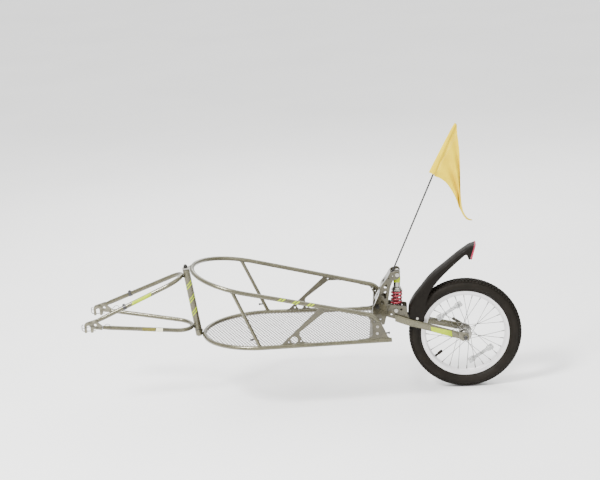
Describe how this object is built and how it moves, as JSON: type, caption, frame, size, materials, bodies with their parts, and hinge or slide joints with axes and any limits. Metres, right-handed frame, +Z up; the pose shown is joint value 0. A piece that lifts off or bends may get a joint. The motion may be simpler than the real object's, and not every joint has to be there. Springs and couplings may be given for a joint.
{
  "type": "single wheel touring trailer",
  "caption": "Bicycle cargo trailer with a forked yoke on a steering pivot, a tubular frame with a mesh floor, and a sprung swingarm with a spoked wheel, fender, reflector and safety flag",
  "frame": {"origin": "middle of the hitch, on the line of the bike's rear axle between the two dropout slots", "axes": "+X to the rear along the trailer, +Y to the trailer's right across it, +Z up; the bottom rail is level"},
  "size_m": [1.5729, 0.4204, 0.9716],
  "materials": {
    "frame_paint": "grey olive metallic paint",
    "bright_alloy": "satin silver",
    "steel": "plain zinc plated",
    "black_fittings": "black coated",
    "bushing_plastic": "dark moulded",
    "fender_plastic": "black moulded, satin",
    "tyre_rubber": "matt rubber",
    "spring_paint": "red powder coat",
    "flag_cloth": "thin yellow nylon",
    "red_lens": "red reflector",
    "clear_lens": "clear reflector"
  },
  "bodies": {
    "yoke": {"yoke_tube": "frame_paint", "yoke_upper_loop": "frame_paint", "yoke_lower_loop": "frame_paint", "hitch_dropout_left": "bright_alloy", "hitch_dropout_right": "bright_alloy", "steering_bushing_lower": "bushing_plastic", "steering_bushing_upper": "bushing_plastic", "pin_tether_left": "bushing_plastic", "pin_tether_right": "bushing_plastic"},
    "pin_left": {"retaining_pin_left": "steel"},
    "pin_right": {"retaining_pin_right": "steel"},
    "cargo_frame": {"upper_pivot_lug": "bright_alloy", "lower_pivot_collar": "frame_paint", "pivot_pin": "black_fittings", "pivot_nut": "steel", "top_rail": "frame_paint", "bottom_rail": "frame_paint", "front_strut_left": "frame_paint", "front_strut_right": "frame_paint", "side_brace_left": "frame_paint", "side_brace_right": "frame_paint", "rear_panel_left": "frame_paint", "rear_panel_right": "frame_paint", "floor_mesh": "bright_alloy", "bulkhead": "frame_paint", "tower_plate_left": "frame_paint", "tower_plate_right": "frame_paint", "tower_web": "frame_paint", "shock_top_bolt": "steel", "swing_pivot_bolt": "black_fittings", "flag_socket": "frame_paint"},
    "mast": {"flag_mast": "black_fittings", "flag": "flag_cloth"},
    "swingarm": {"swing_plate_left": "frame_paint", "swing_plate_right": "frame_paint", "pivot_sleeve": "steel", "swing_bridge": "frame_paint", "arm_left": "frame_paint", "arm_right": "frame_paint", "axle_dropout_left": "bright_alloy", "axle_dropout_right": "bright_alloy", "fender": "fender_plastic", "fender_bolt_left": "steel", "fender_bolt_right": "steel", "rear_reflector": "red_lens", "shock_lower_bolt": "steel", "hub_axle": "steel", "skewer": "steel"},
    "lever": {"quick_release_lever": "steel"},
    "damper": {"shock_body": "bright_alloy", "coil_spring": "spring_paint"},
    "collar": {"preload_collar": "bright_alloy"},
    "shaft": {"shock_shaft": "steel"},
    "wheel": {"tyre": "tyre_rubber", "rim": "bright_alloy", "hub_and_spokes": "bright_alloy", "valve": "black_fittings", "spoke_reflector_front": "clear_lens", "spoke_reflector_rear": "clear_lens"}
  },
  "joints": [
    {"name": "steering", "type": "hinge", "parent": "yoke", "child": "cargo_frame", "pos_m": [0.3824, 0, -0.073], "axis": [-0.1149, 0, 0.9934], "range_deg": [-85, 85]},
    {"name": "pin_left_slide", "type": "slide", "parent": "yoke", "child": "pin_left", "axis": [-1, 0, 0], "range_m": [0, 0.045], "deforming": ["pin_tether_left"]},
    {"name": "pin_right_slide", "type": "slide", "parent": "yoke", "child": "pin_right", "axis": [-1, 0, 0], "range_m": [0, 0.045], "deforming": ["pin_tether_right"]},
    {"name": "mast_slide", "type": "slide", "parent": "cargo_frame", "child": "mast", "axis": [0.4196, 0, 0.9077], "range_m": [0, 0.045]},
    {"name": "suspension_swing", "type": "hinge", "parent": "cargo_frame", "child": "swingarm", "pos_m": [1.036, 0, 0.004], "axis": [0, -1, 0], "range_deg": [0, 13.7], "stiffness_Nm_per_rad": 370, "springref_deg": -1.72},
    {"name": "shock_tilt", "type": "hinge", "parent": "cargo_frame", "child": "damper", "pos_m": [1.112, 0, 0.12], "axis": [0, -1, 0], "range_deg": [0, 0.79]},
    {"name": "shock_stroke", "type": "slide", "parent": "damper", "child": "shaft", "axis": [0.0739, 0, 0.9973], "range_m": [0, 0.0163], "deforming": ["coil_spring"]},
    {"name": "preload_turn", "type": "hinge", "parent": "damper", "child": "collar", "pos_m": [1.10719, 0, 0.055], "axis": [0.0739, 0, 0.9973], "range_deg": [-180, 180]},
    {"name": "wheel_spin", "type": "hinge", "parent": "swingarm", "child": "wheel", "pos_m": [1.345, 0, -0.118], "axis": [0, 1, 0], "continuous": true},
    {"name": "lever_flip", "type": "hinge", "parent": "swingarm", "child": "lever", "pos_m": [1.345, 0.0705, -0.118], "axis": [-0.5913, 0, -0.8064], "range_deg": [0, 170]}
  ],
  "couplings": [
    {"joint": "shock_tilt", "follows": "suspension_swing", "ratio": 0.0575},
    {"joint": "shock_stroke", "follows": "suspension_swing", "m_per_rad": 0.0681}
  ]
}
